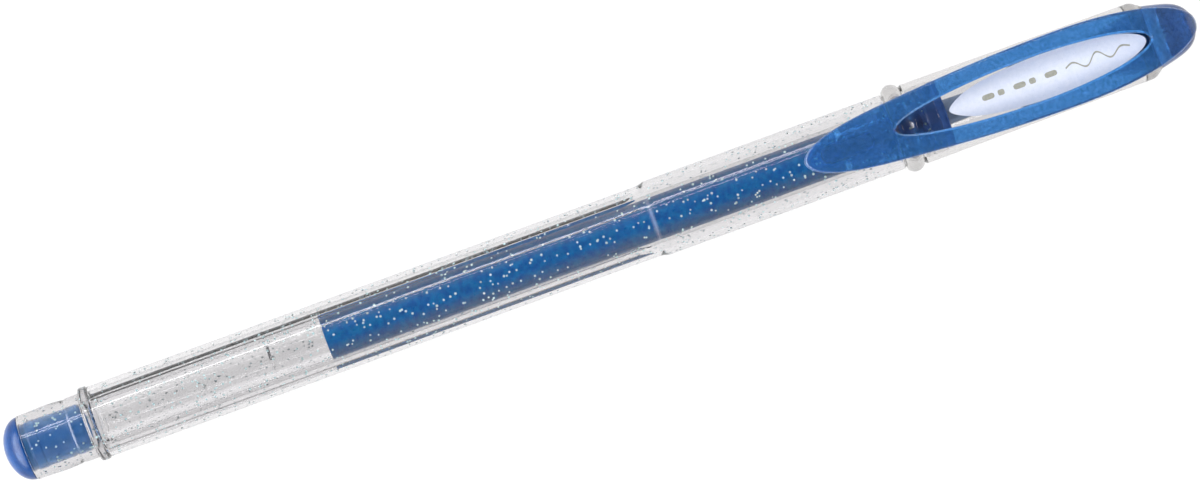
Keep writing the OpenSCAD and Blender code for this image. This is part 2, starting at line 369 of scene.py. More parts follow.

# %% [markdown]
# ## Ink, metal, print and rubber
# The other finishes stop the light at their surface. Each has a colour that wanders between two
# near neighbours, an uneven gloss and a fine relief. The ink is a gel that is a little
# see-through: in the middle light comes back from its depth, and at the sides it is lost. Real
# scattering is slow to render inside a lens, so a painted shade says it instead: the ink's colour
# is darkened towards its sides by a plain gradient across the pen.


# %% Opaque finishes
def solid_finish(name, dark, light, rough, per_mm, grain_mm=0.002, **values):
    """An opaque finish: wandering colour, uneven gloss, and a fine relief."""
    finish, tree, shader = new_finish(name, **values)
    tree.links.new(tint(tree, noise(tree, per_mm, 4), dark, light), shader.inputs["Base Color"])
    tree.links.new(spread(tree, noise(tree, per_mm * 3), *rough), shader.inputs["Roughness"])
    bump(tree, shader, noise(tree, per_mm * 2, 3), grain_mm)
    return finish


def paint_side_shade(finish, start_mm, stop_mm, share):
    """Paints shade on a finish away from the middle of the pen: its colour is darkened from all of
    it at one distance sideways down to a share of it at another."""
    tree = finish.node_tree
    shader = tree.nodes["Principled BSDF"]
    colour = shader.inputs["Base Color"].links[0].from_socket
    kinds = ("TexCoord", "SeparateXYZ", "Math", "MapRange", "VectorMath")
    where, apart, off, fade, mix = (tree.nodes.new("ShaderNode" + kind) for kind in kinds)
    off.operation, mix.operation = "ABSOLUTE", "SCALE"
    numbers = (start_mm * MM, stop_mm * MM, 1.0, share)
    for socket, number in zip(("From Min", "From Max", "To Min", "To Max"), numbers):
        fade.inputs[socket].default_value = number
    tree.links.new(where.outputs["Object"], apart.inputs["Vector"])
    tree.links.new(apart.outputs["Y"], off.inputs[0])
    tree.links.new(off.outputs["Value"], fade.inputs["Value"])
    tree.links.new(colour, mix.inputs[0])
    tree.links.new(fade.outputs["Result"], mix.inputs["Scale"])
    tree.links.new(mix.outputs["Vector"], shader.inputs["Base Color"])


INK = solid_finish("ink", (0.006, 0.25, 0.88), (0.014, 0.40, 1.0), (0.25, 0.4), 1.6, 0.004)
# Painted shade: the ink's colour is darkened towards its sides, where light is lost in the gel.
paint_side_shade(INK, 0.6, 1.7, 0.5)
NICKEL = solid_finish(
    "nickel_silver", (0.60, 0.58, 0.54), (0.74, 0.72, 0.68), (0.16, 0.3), 3.0, Metallic=1.0)
CARBIDE = solid_finish(
    "carbide", (0.20, 0.20, 0.22), (0.28, 0.28, 0.30), (0.1, 0.2), 8.0, Metallic=1.0)
STEEL = solid_finish(
    "ball_steel", (0.62, 0.62, 0.64), (0.74, 0.74, 0.76), (0.08, 0.16), 4.0, Metallic=1.0)
FLAKE = solid_finish(
    "glitter", (0.68, 0.95, 1.0), (0.80, 1.0, 1.0), (0.5, 0.7), 1.2, Specular_IOR_Level=0.3)
LABEL = solid_finish("label_white", (0.61, 0.65, 0.76), (0.66, 0.69, 0.79), (0.25, 0.4), 2.0)
PRINT = solid_finish("print_grey", (0.27, 0.27, 0.23), (0.34, 0.34, 0.29), (0.3, 0.5), 3.0)
STAIN = solid_finish(
    "grease_stain", (0.10, 0.10, 0.12), (0.62, 0.62, 0.66), (0.3, 0.5), 0.7,
    Transmission_Weight=0.6, IOR=1.05)
RUBBER = solid_finish("seal_rubber", (0.60, 0.60, 0.56), (0.68, 0.68, 0.64), (0.6, 0.8), 3.0)
print("opaque finishes:", INK.name, NICKEL.name, CARBIDE.name, FLAKE.name, LABEL.name)

# %% [markdown]
# ## Dressing a piece
# A piece isn't done when its mesh is. It needs a finish, the body that it moves with, and the CAD
# nodes that it stands for. One helper does all three, so none is forgotten.


# %% Finish, body and nodes
def dress(piece, finish, body, slot, *nodes):
    """Gives a piece its finish, its body and the nodes that it stands for. The slot is not used."""
    piece.data.materials.append(finish)
    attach(piece, body)
    if nodes:
        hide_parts(*nodes)
    print(f"{piece.name}: {len(piece.data.polygons)} faces")
    return piece


def face_centres(piece):
    """The middle of each face, as rows of x, y and z."""
    return np.array([face.center for face in piece.data.polygons])


def second_finish(piece, finish, where):
    """Gives some faces of a piece a second finish, chosen by a list of true and false."""
    piece.data.materials.append(finish)
    piece.data.polygons.foreach_set("material_index", where.astype(np.int32))


# %% [markdown]
# ## The ribs in the barrel
# The bore of the barrel is not plain: four long ribs keep the refill on the axis, and they are what
# draws the bright and dark lines along the rear half. They fade out before the grip. A lathe alone
# can't make ribs, so the angles round the pen are bunched at the ribs' edges, and the radius of the
# bore is taken down there.

# %% Sizes of the barrel and shape of its ribs
NECK_R, COLLAR_R, REAR_R = 4.0, 4.54, 4.37
GRIP_R, SEAT_R = radius("barrel"), 4.25
NECK_BORE, REAR_BORE, GRIP_BORE = 3.0, 3.85, 3.93
COLLAR_FROM, COLLAR_TO = 10.5, 11.5
STEP_FROM, STEP_TO = PEN_END - 68.4, PEN_END - 67.6
RIB_COUNT, RIB_HEIGHT, RIB_WIDTH, RIB_TURN = 4, 0.5, 1.2, math.radians(34)
RIB_FLANK, RIB_FOOT, RIB_FADE = 0.3, 1.15, 1.6
RIB_END = STEP_FROM - 1.9
RIB_HALF = RIB_WIDTH / 2 / (REAR_BORE - RIB_HEIGHT / 2)
BORE_ONLY = 3.99


def rib_angles(count=120):
    """Even angles, and a closer set across each rib so that its two flanks stay smooth."""
    near = np.linspace(-1.3, 1.3, 23) * RIB_HALF
    edges = RIB_TURN + 2 * np.pi / RIB_COUNT * np.arange(RIB_COUNT)[:, None] + near[None]
    return np.unique(np.round(np.concatenate([circle(count), edges.ravel() % (2 * np.pi)]), 5))


def ribs(place, angle, r):
    """How much the bore narrows: a flat-topped bump with steep, smooth flanks, which fades out on
    a slope at the front. Only radii below the outer wall's are changed."""
    step = 2 * np.pi / RIB_COUNT
    off = np.abs((angle - RIB_TURN + step / 2) % step - step / 2) / RIB_HALF
    along = np.clip((RIB_END + 1.0 - place) / RIB_FADE, 0, 1) * (place > COLLAR_TO)
    flank = np.clip((RIB_FOOT - off) / RIB_FLANK, 0, 1)
    return RIB_HEIGHT * along * flank**2 * (3 - 2 * flank) * (r < BORE_ONLY)


print(f"{RIB_COUNT} ribs, {RIB_HEIGHT} mm high, on {len(rib_angles())} angles round the pen")

# %% [markdown]
# ## The barrel
# The barrel is one clear moulding with a wall of half a millimetre. It could be a cylinder with a
# solidify modifier, but its neck, collar, step and seat have different bores, and the light shows
# each of them. So both sides of the wall are drawn, out along the outside and back along the bore.

# %% Turn the barrel
barrel_profile = [
    # neck, with a shallow groove, and collar
    (BARREL_FROM, NECK_BORE, 0.1), (BARREL_FROM, NECK_R - 0.02, 0.15), (4.4, NECK_R, 1.0),
    (6.1, NECK_R + 0.08, 1.2), (8.2, NECK_R - 0.05, 0.6), (8.5, NECK_R - 0.15, 0.15),
    (8.8, NECK_R - 0.03, 0.2), (COLLAR_FROM, NECK_R, 0.12), (COLLAR_FROM + 0.1, COLLAR_R, 0.2),
    (COLLAR_TO, COLLAR_R, 0.2), (COLLAR_TO + 0.08, REAR_R, 0.08),
    # rear, step, grip and seat
    (30, REAR_R), (55, REAR_R), (STEP_FROM - 3, REAR_R), (STEP_FROM, REAR_R, 0.5),
    (STEP_TO, GRIP_R, 0.5), (STEP_TO + 3, GRIP_R), (95, GRIP_R), (RIM_AT, GRIP_R, 0.15),
    (RIM_AT, SEAT_R, 0.1), (BARREL_TO, SEAT_R, 0.12),
    # back along the bore
    (BARREL_TO, GRIP_BORE, 0.08), (95, GRIP_BORE), (STEP_TO + 0.6, GRIP_BORE, 0.5),
    (STEP_FROM - 0.4, REAR_BORE, 0.5), (RIB_END + 1.0, REAR_BORE), (RIB_END - 0.6, REAR_BORE),
    (55, REAR_BORE), (30, REAR_BORE), (COLLAR_TO + 0.2, REAR_BORE, 0.05),
    (COLLAR_TO, REAR_BORE - 0.2, 0.1), (COLLAR_TO - 0.1, NECK_BORE, 0.1),
]
barrel_shell = lathe("barrel_shell", barrel_profile, rib_angles(), ribs)
dress(barrel_shell, CLEAR_BARREL, "barrel", "clear_barrel", "barrel")

# %% [markdown]
# ## Glitter
# The resin of the barrel carries cut foil: flat six-sided flakes about a quarter of a millimetre
# across. The flow of the plastic lays them nearly flat in the wall. Over the ink they catch the
# light from above and look white, and at the sides they are seen on edge and look dark. Each flake
# is a real plate inside the wall, from one list of random places with a fixed seed. A texture of
# spots would be lighter, but spots on the surface don't stand apart from the ink as these do.

# %% Choose places for the flakes
FLAKES, FLAKE_THICK, FLAKE_SMALL, FLAKE_LARGE = 2000, 0.012, 0.10, 0.165
FLAKE_TIP, FLAKE_TIP_MOST = 0.22, 0.45


def flakes_in_wall(count, seed=7):
    """Centres, two in-plane directions and sizes. A flake's plane is the wall's tangent plane,
    tipped by a random angle that is mostly small."""
    rng = np.random.default_rng(seed)
    place = rng.uniform(BARREL_FROM + 0.6, BARREL_TO - 0.6, count)
    angle = rng.uniform(0, 2 * np.pi, count)
    size = rng.uniform(FLAKE_SMALL, FLAKE_LARGE, count)
    main_bore = np.where(place < STEP_FROM, REAR_BORE, GRIP_BORE)
    inner = np.where(place < COLLAR_TO, NECK_BORE, main_bore)
    main_wall = np.where(place < STEP_TO, REAR_R, GRIP_R)
    outer = np.where(place < COLLAR_FROM, NECK_R - 0.15, main_wall)
    outer = np.where(place > RIM_AT - 0.3, SEAT_R, outer)
    room = np.maximum(outer - inner - 0.2, 0.02)
    r = inner + 0.1 + room * rng.uniform(0, 1, count)
    out = np.stack([np.zeros(count), np.sin(angle), np.cos(angle)], 1)
    along = np.tile([1.0, 0.0, 0.0], (count, 1))
    side = np.cross(out, along)
    tip = np.clip(rng.normal(0, FLAKE_TIP, (count, 2)), -FLAKE_TIP_MOST, FLAKE_TIP_MOST)
    first = along + tip[:, :1] * out
    second = side + tip[:, 1:] * out
    centre = np.stack([TAIL_X / MM + place, r * out[:, 1], AXIS_Z / MM + r * out[:, 2]], 1)
    return centre, first, second, size


flakes = flakes_in_wall(FLAKES)
print(f"{FLAKES} flakes, {2 * FLAKE_SMALL:.2f} to {2 * FLAKE_LARGE:.2f} mm across")

# %% [markdown]
# Two thousand objects would be slow to handle, so all the flakes are one mesh: six corners above
# and six below each centre, worked out together as one block of numbers.


# %% Make the flakes
def flake_mesh(centre, first, second, size):
    """Six corners in the flake's plane, above and below its middle, with lid, floor and sides."""
    six = np.arange(6) * np.pi / 3
    turn_first, turn_second = np.cos(six)[None, :, None], np.sin(six)[None, :, None]
    ring = turn_first * first[:, None] + turn_second * second[:, None]
    flat = centre[:, None] + ring * size[:, None, None]
    lift = np.cross(first, second)
    lift = lift / np.linalg.norm(lift, axis=1, keepdims=True) * FLAKE_THICK / 2
    both = np.concatenate([flat + lift[:, None], flat - lift[:, None]], 1)
    verts = both.reshape(-1, 3) * MM
    top = [0, 1, 2, 3, 4, 5]
    bottom = [11, 10, 9, 8, 7, 6]
    sides = [[k + 6, (k + 1) % 6 + 6, (k + 1) % 6, k] for k in range(6)]
    one = [top, bottom, *sides]
    faces = [[12 * n + v for v in face] for n in range(len(centre)) for face in one]
    return verts, faces


glitter = finish_mesh("glitter_flakes", *flake_mesh(*flakes), sharp=20)
dress(glitter, FLAKE, "barrel", "clear_barrel")

# %% [markdown]
# ## Tail plug
# The plug closes the tail: a blue dome outside, and a thin hollow spigot with two snug rings
# inside the neck. The dome is solid and deep in colour, and the spigot's wall is thin and looks
# paler. They are one moulding, so they are one turned part, and its faces take one of two finishes
# by place. Two objects would leave a seam in the plastic, which light would find.

# %% Turn the tail plug
DOME_R, DOME_LENGTH, SPIGOT_R = radius("tail_plug"), BARREL_FROM, 2.9
SPIGOT_END, HOLLOW_FROM, HOLLOW_R = 10.3, 3.4, 2.0


def dome(steps=18):
    """A quarter ellipse from the tip to the rim of the dome."""
    a = np.linspace(0, np.pi / 2, steps)[1:-1]
    return [(DOME_LENGTH * (1 - np.cos(t)), DOME_R * np.sin(t)) for t in a]


plug_profile = [
    (0, 0), *dome(), (DOME_LENGTH - 0.12, DOME_R, 0.1), (DOME_LENGTH, DOME_R - 0.02, 0.1),
    (DOME_LENGTH, SPIGOT_R - 0.05, 0.1), (3.3, SPIGOT_R - 0.05, 0.05), (3.5, NECK_BORE - 0.01, 0.1),
    (4.5, NECK_BORE - 0.01, 0.1), (4.7, SPIGOT_R, 0.05), (8.3, SPIGOT_R, 0.1),
    (8.5, SPIGOT_R - 0.12, 0.08), (8.7, SPIGOT_R, 0.1), (9.9, SPIGOT_R, 0.3),
    (SPIGOT_END, SPIGOT_R - 0.35, 0.15), (SPIGOT_END, HOLLOW_R + 0.1, 0.1),
    (HOLLOW_FROM, HOLLOW_R, 0.3), (HOLLOW_FROM, 0),
]
tail_plug = lathe("tail_plug_moulding", plug_profile)
dress(tail_plug, PLUG_BLUE, "barrel", "blue_plug", "tail_plug")
second_finish(tail_plug, SPIGOT_BLUE, face_centres(tail_plug)[:, 0] > spot(DOME_LENGTH + 0.3)[0])

# %% [markdown]
# ## Refill
# The refill is a thick clear tube. The ink wets its bore, so no air lies between them and the thin
# thread of ink seems to fill the tube: the tube is a lens. To say the same to the renderer, the ink
# is made a hair wider than the bore.

# %% Turn the refill tube
TUBE_R, TUBE_BORE, WETTING = radius("refill_tube"), radius("ink_column") + 0.01, 0.02
refill_tube = lathe("refill_tube_wall", [
    (TUBE_FROM, TUBE_BORE, 0.1), (TUBE_FROM, TUBE_R, 0.15), (40, TUBE_R), (75, TUBE_R),
    (TUBE_TO, TUBE_R, 0.1), (TUBE_TO, TUBE_BORE, 0.05), (75, TUBE_BORE), (40, TUBE_BORE)])
dress(refill_tube, CLEAR_TUBE, "barrel", "clear_tube", "refill_tube")

# %% [markdown]
# ## Ink
# The ink is a plain thread of gel. As the pen writes, its rear end moves forward and its front end
# stays at the holder. Here the thread is drawn at its full length and given a mesh of its own.


# %% Make the thread of ink
DISH, LEAN_OVER = 0.25, 3.0


def thread(name, start, stop, r, lean):
    """A round thread with a leaning, dished face at its rear: the face's rings slide along the pen
    by lean times their height, and dip in towards the middle."""
    angles = circle(96)
    shares = np.array([0.35, 0.7, 0.93, 1.0])
    face = np.stack([start + DISH * (1 - shares**2), r * shares], 1)
    body = np.stack([np.linspace(start + 0.3, stop - 0.1, 12), np.full(12, r)], 1)
    rings = turn(np.concatenate([face, body, [[stop, r * 0.9]]]), angles)
    near = np.clip(1 - (rings[..., 0] - spot(start)[0]) / (LEAN_OVER * MM), 0, 1)
    rings[..., 0] += near * lean * (rings[..., 2] - AXIS_Z)
    return skin(name, rings, spot(start + DISH), spot(stop), sharp=50)


ink = thread("ink_thread", INK_FROM + 0.05, INK_TO, TUBE_BORE + WETTING, 0.0)
dress(ink, INK, "barrel", "ink", "ink_column")
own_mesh(ink)

# %% [markdown]
# ## Follower
# Behind the ink is a short plug of clear grease, which keeps the ink from drying and moves up
# behind it. It bends light hardly more than air does, so all that shows is a faint dark arc, where
# its dished rear face is stained with ink. That face takes a second finish on one side.

# %% Make the follower
follower_from, follower_to = ends("grease_follower")
follower = thread("follower_plug", follower_from, follower_to, TUBE_BORE - 0.03, 0.1)
dress(follower, GREASE, "follower", "grease", "grease_follower")
face_at = face_centres(follower)
stained = (face_at[:, 0] < spot(follower_from + 0.3)[0]) & (face_at[:, 1] > -0.1 * MM)
second_finish(follower, STAIN, stained)

# %% [markdown]
# ## Holder
# The holder is the stopper in the front of the refill. Its spigot is in the tube, its body fills
# the seat of the barrel, and its boss carries the metal point. The body is thick and holds ink, so
# it looks dark, and the thin boss looks paler. They are one moulding with two finishes by place.

# %% Turn the holder
HOLDER_FROM, BOSS_END = ends("tip_holder")
HOLDER_R, FLANGE_R, BOSS_R = GRIP_BORE - 0.02, radius("tip_holder"), 1.55
GROOVE_R = HOLDER_R - 0.12
holder = lathe("holder_moulding", [
    (HOLDER_FROM, 0), (HOLDER_FROM, 1.2, 0.2), (HOLDER_FROM + 0.5, TUBE_BORE + 0.01, 0.2),
    (TUBE_TO, TUBE_BORE + 0.01, 0.02), (TUBE_TO, HOLDER_R, 0.3), (BARREL_TO - 2.2, HOLDER_R, 0.1),
    (BARREL_TO - 2.0, GROOVE_R, 0.1), (BARREL_TO - 1.4, GROOVE_R, 0.1),
    (BARREL_TO - 1.2, HOLDER_R, 0.1), (BARREL_TO, HOLDER_R, 0.02), (BARREL_TO, FLANGE_R, 0.15),
    (BARREL_TO + 1.0, FLANGE_R, 0.2), (BARREL_TO + 1.0, BOSS_R, 0.2),
    (BARREL_TO + 3, BOSS_R - 0.05),
    (BOSS_END, 1.4, 0.12), (BOSS_END, 1.2, 0.05), (BOSS_END - 0.3, 0)])
dress(holder, HOLDER_BLUE, "barrel", "blue_holder", "tip_holder")
second_finish(holder, BOSS_BLUE, face_centres(holder)[:, 0] > spot(BARREL_TO + 1.05)[0])

# %% [markdown]
# ## Point and balls
# The point is drawn from nickel silver: a shank with a fine groove, a long cone, and a socket that
# is spun in round the ball. The socket is a hair larger than the ball, so that the ball can roll
# and the two surfaces never cross. The balls and the seal are too small or too well hidden to need
# new meshes, so they keep the design's own and only get a finish.

# %% Turn the point and finish the balls
BALL_AT, POINT_R = sum(ends("writing_ball")) / 2, radius("metal_point")
CONE_FROM, SOCKET_R = BOSS_END + 3.4, radius("writing_ball") + 0.015
point = lathe("point_turning", [
    (BOSS_END - 0.4, 0), (BOSS_END - 0.4, POINT_R, 0.05), (BOSS_END + 0.5, POINT_R, 0.05),
    (BOSS_END + 0.6, POINT_R - 0.05, 0.05), (BOSS_END + 0.8, POINT_R - 0.05, 0.05),
    (BOSS_END + 0.9, POINT_R, 0.05), (CONE_FROM, POINT_R, 0.3), (BALL_AT - 0.25, 0.47, 0.3),
    (BALL_AT + 0.12, 0.42, 0.04), (BALL_AT + 0.12, 0.352, 0.01),
    *[(BALL_AT - SOCKET_R * np.sin(t), SOCKET_R * np.cos(t)) for t in np.linspace(0, 1.35, 7)],
    (BALL_AT - SOCKET_R, 0)])
dress(point, NICKEL, "barrel", "nickel_silver", "metal_point")

for node, finish in (("writing_ball", CARBIDE), ("valve_ball", STEEL), ("tip_seal", RUBBER)):
    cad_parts[node].data.materials.clear()
    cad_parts[node].data.materials.append(finish)
    print(f"{node}: {finish.name}")

# %% [markdown]
# ## The cap
# The cap is a clear, slightly tapered tube with a fat bead round its rim, closed at the far end by
# the blue crown. Inside it a blue sleeve comes down from the crown to close round the point. The
# bead is a solid ring of plastic and bends light strongly, so it is drawn with many points.

# %% Turn the cap tube
BEAD_R, BEAD_HALF = radius("cap_tube"), 1.2
CAP_RIM_R, CAP_END_R, CAP_BORE, CAP_END_BORE, CAP_MOUTH = 4.94, 4.73, 4.3, 4.1, 3.25
CHAMFER_FROM = PEN_END - 6.5
BEAD_AT = RIM_AT + 0.1 + BEAD_HALF


def bead(steps=22):
    """Half a circle standing on the tube, from its rim side to its crown side."""
    a = np.linspace(-0.97 * np.pi / 2, 0.72 * np.pi / 2, steps)
    return [(BEAD_AT + BEAD_HALF * np.sin(t), BEAD_R - BEAD_HALF * (1 - np.cos(t))) for t in a]


cap_shell = lathe("cap_wall", [
    (RIM_AT, CAP_BORE, 0.12), (RIM_AT, 4.5, 0.1), *bead(),
    (BEAD_AT + BEAD_HALF + 0.15, CAP_RIM_R - 0.01, 0.08),
    (BEAD_AT + 4, CAP_RIM_R - 0.02), (125, CAP_RIM_R - 0.09), (CHAMFER_FROM, CAP_END_R, 0.4),
    (CROWN_AT, 3.95, 0.1), (CROWN_AT, CAP_MOUTH, 0.05), (CHAMFER_FROM - 1.0, CAP_MOUTH, 0.1),
    (CHAMFER_FROM - 1.0, CAP_END_BORE, 0.2), (RIM_AT + 8, CAP_BORE, 0.5)])
dress(cap_shell, CLEAR_CAP, "cap", "clear_cap", "cap_tube")

# %% [markdown]
# ## Inner cap
# The blue sleeve inside the cap closes round the point and keeps it from drying. Its mouth is
# flared to guide the point in, its bore is narrow, and its far end is wide to take the core of the
# crown. Through the clip and the cap it shows as the darker half of the cap.

# %% Turn the inner cap
SLEEVE_FROM, SLEEVE_TO = ends("inner_cap")
SLEEVE_R, SLEEVE_MOUTH, SLEEVE_BORE, SLEEVE_WIDE = radius("inner_cap"), 2.2, 1.36, 2.12
WIDE_FROM = SLEEVE_FROM + 6.5
sleeve = lathe("inner_cap_sleeve", [
    (SLEEVE_FROM, SLEEVE_MOUTH, 0.1), (SLEEVE_FROM, SLEEVE_R, 0.2), (SLEEVE_TO, SLEEVE_R, 0.05),
    (SLEEVE_TO, SLEEVE_WIDE, 0.05), (WIDE_FROM, SLEEVE_WIDE, 0.1), (WIDE_FROM, SLEEVE_BORE, 0.1),
    (SLEEVE_FROM + 1.6, SLEEVE_BORE, 0.2)])
dress(sleeve, SLEEVE_BLUE, "cap", "blue_inner_cap", "inner_cap")

# %% [markdown]
# ## Crown
# The crown is a bullet of solid blue that plugs the cap. Behind it a wide plug fits the cap's mouth
# and a narrow core fits the inner cap. Its top is cut flat where the foot of the clip stands. The
# flat could be a boolean cut, but here each ring is simply taken down to a level.

# %% Turn the crown
CROWN_R, CROWN_LENGTH, SEAT_UP = radius("crown"), PEN_END - CROWN_AT, 2.6
CROWN_CONE, CROWN_BLUNT, CORE_R, PLUG_R = 0.33, 5.5, 2.08, 3.2
FOOT_FROM = PEN_END - 5.3


def crown_outline(steps=26):
    """Radius of the bullet: a slight cone times the square root of one less a high power, so that
    it stays full and then rounds off to a blunt end."""
    x = (1 - np.cos(np.linspace(0, np.pi, steps))) / 2
    r = CROWN_R * (1 - CROWN_CONE * x) * np.sqrt(np.clip(1 - x**CROWN_BLUNT, 0, 1))
    return [(CROWN_AT + CROWN_LENGTH * a, b) for a, b in zip(x[1:-1], r[1:-1])]


def seat_flat(place, angle, r):
    """Takes the top of the crown down to the flat that the clip's foot stands on."""
    height = r * np.cos(angle)
    flat = (place > FOOT_FROM) & (height > SEAT_UP)
    return np.where(flat, r - SEAT_UP / np.maximum(np.cos(angle), 0.2), 0.0)


bullet = crown_outline()
crown = lathe("crown_bullet", [
    (WIDE_FROM + 0.1, 0), (WIDE_FROM + 0.1, CORE_R, 0.1), (SLEEVE_TO + 0.02, CORE_R, 0.02),
    (SLEEVE_TO + 0.02, PLUG_R, 0.05), (CROWN_AT, PLUG_R, 0.02), (CROWN_AT, CROWN_R, 0.08),
    (FOOT_FROM, bullet[2][1]), *[corner for corner in bullet if corner[0] > FOOT_FROM + 0.02],
    (PEN_END, 0)], inset=seat_flat)
dress(crown, CROWN_BLUE, "cap", "blue_crown", "crown")

# %% [markdown]
# ## The clip's outlines
# The clip is a teardrop plate with a window. Seen from above it is two outlines, one inside the
# other, and seen from the side it is a shallow arch that comes down to the crown. Four rules give
# them: two half widths and two heights, each for any place along the pen.

# %% Outlines and heights of the clip
CLIP_FROM, CLIP_TO = ends("clip")
CLIP_HALF = radius("clip")
CLIP_UNDER, CLIP_THICK, CLIP_END_THICK, FOOT_UP, CAMBER = 5.6, 1.5, 0.9, 2.65, 0.07
CLIP_ROUND, CLIP_WAVE, CLIP_WAVE_PULL, WINDOW_DRAWN, ARCH_RISE = 2.15, 0.1, 1.3, 1.8, 1.6
FOOT_STEP_FROM, FOOT_STEP = PEN_END - 6.4, 2.0
CLIP_WIDE_AT, WINDOW_WIDE_AT = PEN_END - 16.8, PEN_END - 20.3
WINDOW_FROM, WINDOW_TO, WINDOW_HALF = PEN_END - 37.9, PEN_END - 6.2, 2.6
ROOT_FROM = PEN_END - 9.3


def clip_half(s):
    """Half width of the clip: root of one less a power of the distance from its widest place, with
    a gentle wave in the power on the drawn-out side."""
    back = np.clip((CLIP_WIDE_AT - s) / (CLIP_WIDE_AT - CLIP_FROM), 0, 1)
    fore = np.clip((s - CLIP_WIDE_AT) / (CLIP_TO - CLIP_WIDE_AT), 0, 1)
    wave = back**2 * (1 + CLIP_WAVE * np.sin(2 * np.pi * back**CLIP_WAVE_PULL))
    return CLIP_HALF * np.sqrt(np.clip(1 - wave - fore**CLIP_ROUND, 0, 1))


def window_half(s):
    """Half width of the window, by the same rule with a softer power towards the free end."""
    back = np.clip((WINDOW_WIDE_AT - s) / (WINDOW_WIDE_AT - WINDOW_FROM), 0, 1)
    fore = np.clip((s - WINDOW_WIDE_AT) / (WINDOW_TO - WINDOW_WIDE_AT), 0, 1)
    return WINDOW_HALF * np.sqrt(np.clip(1 - back**WINDOW_DRAWN - fore**2, 0, 1))


def clip_top(s):
    """Height of the top: a shallow sine arch, then a quarter ellipse down to the crown's flat."""
    run = np.clip((s - CLIP_FROM) / (ROOT_FROM - CLIP_FROM) * ARCH_RISE, 0, 1)
    rise = (CLIP_THICK - CLIP_END_THICK) * np.sin(run * np.pi / 2)
    arch = CLIP_UNDER + CLIP_END_THICK - CAMBER + rise
    down = np.clip((s - ROOT_FROM) / (CLIP_TO - ROOT_FROM), 0, 1)
    return FOOT_UP + (arch - FOOT_UP) * np.sqrt(1 - down**2)


def clip_bottom(s):
    """Height of the underside: level over the cap, then a smooth step down to the foot."""
    t = np.clip((s - FOOT_STEP_FROM) / FOOT_STEP, 0, 1)
    return CLIP_UNDER + (FOOT_UP - CLIP_UNDER) * t * t * (3 - 2 * t)


print(f"clip {CLIP_TO - CLIP_FROM:.1f} by {2 * CLIP_HALF:.1f} mm, window to {WINDOW_TO:.1f}")

# %% [markdown]
# ## Round the teardrop
# A plate with a window could be cut from a block, but cut edges are sharp and their shading breaks.
# Here the surface is one closed ribbon: one count runs round the teardrop, and the other runs round
# the section between the window and the outer edge. This cell pairs the points of both outlines.


# %% Pair the outer outline with the window
def soft_clamp(x, k=8.0):
    """Follows x between 0 and 1 and flattens smoothly outside: a difference of two soft ramps."""
    return (np.logaddexp(0, k * x) - np.logaddexp(0, k * (x - 1))) / k


def teardrops(count=240):
    """Matching points on both outlines. The window's places follow the clip's where they can."""
    t = np.linspace(0, 2 * np.pi, count, endpoint=False)
    side = np.where(np.sin(t) >= 0, 1.0, -1.0)
    share = (1 - np.cos(t)) / 2
    s_out = CLIP_FROM + share * (CLIP_TO - CLIP_FROM)
    wanted = (s_out - WINDOW_FROM) / (WINDOW_TO - WINDOW_FROM)
    limits = (np.array([CLIP_FROM, CLIP_TO]) - WINDOW_FROM) / (WINDOW_TO - WINDOW_FROM)
    low, high = soft_clamp(limits)
    s_in = WINDOW_FROM + (soft_clamp(wanted) - low) / (high - low) * (WINDOW_TO - WINDOW_FROM)
    outer = np.stack([s_out, side * clip_half(s_out)], 1)
    inner = np.stack([s_in, side * window_half(s_in)], 1)
    return outer, inner


outer, inner = teardrops()
gap = np.linalg.norm(outer - inner, axis=1)
print(f"{len(gap)} pairs of points, {gap.min():.2f} to {gap.max():.2f} mm apart")

# %% [markdown]
# ## The clip's section
# The section has a rounded outer shoulder, a slightly crowned top and a small bevel down to the
# window, which catches the light as a pale rim. Each point of the loop is a distance in from the
# outer edge and a height between the underside and the top, so the same loop fits everywhere.

# %% Carry the section round
SHOULDER, LOWER_EDGE, BEVEL, BEVEL_DROP = 0.42, 0.2, 0.28, 0.35


def part_of(height, low, high, most):
    """A height that is cut down to a share of the plate where the plate gets thin."""
    return np.minimum(height, (high - low) * most)


def clip_rings():
    """For every point round the teardrop, a loop of section points, from the lower outer edge over
    the shoulder, the top and the bevel to the window's wall, and back along the underside."""
    quarter = np.linspace(0, np.pi / 2, 6)
    loop = []

    def add(from_outer, lift):
        plan = outer + (inner - outer) * (from_outer / gap)[:, None]
        low, high = clip_bottom(plan[:, 0]), clip_top(plan[:, 0])
        up = lift(low, np.maximum(high, low + 0.02))
        loop.append(np.stack([plan[:, 0], plan[:, 1], up], 1))

    for a in quarter:
        add(gap * 0 + LOWER_EDGE * (1 - np.sin(a)), lambda low, high, a=a:
            low + part_of(LOWER_EDGE, low, high, 0.3) * (1 - np.cos(a)))
    for a in quarter:
        add(gap * 0 + SHOULDER * (1 - np.cos(a)), lambda low, high, a=a:
            high - part_of(SHOULDER, low, high, 0.6) * (1 - np.sin(a)))
    for f in np.linspace(0, 1, 9)[1:-1]:
        add(SHOULDER + f * (gap - SHOULDER - BEVEL), lambda low, high, f=f:
            high + CAMBER * np.sin(np.pi * f))
    for f in (0.0, 0.12, 0.5, 0.88, 1.0):
        add(gap - BEVEL * (1 - f), lambda low, high, f=f:
            high - part_of(BEVEL_DROP, low, high, 0.6) * f)
    for f in (0.1, 0.9, 1.0):
        add(gap + 0, lambda low, high, f=f:
            low + (1 - f) * (high - low - part_of(BEVEL_DROP, low, high, 0.6)))
    for f in np.linspace(0, 1, 14)[1:-1]:
        add(gap * (1 - f) + LOWER_EDGE * f, lambda low, high: low)
    return in_metres(np.stack(loop, 1))


clip = skin("clip_teardrop", clip_rings(), sharp=40)
dress(clip, CLIP_BLUE, "clip", "blue_clip", "clip")

# %% [markdown]
# ## The gripping rib
# Under the free end a short rib narrows the gap and grips the pocket. On the pen it is one with the
# clip. Here it is a long pill with a rounded belly, let a little way into the plate, because a rib
# drawn into the ribbon would need many more points all round the clip.

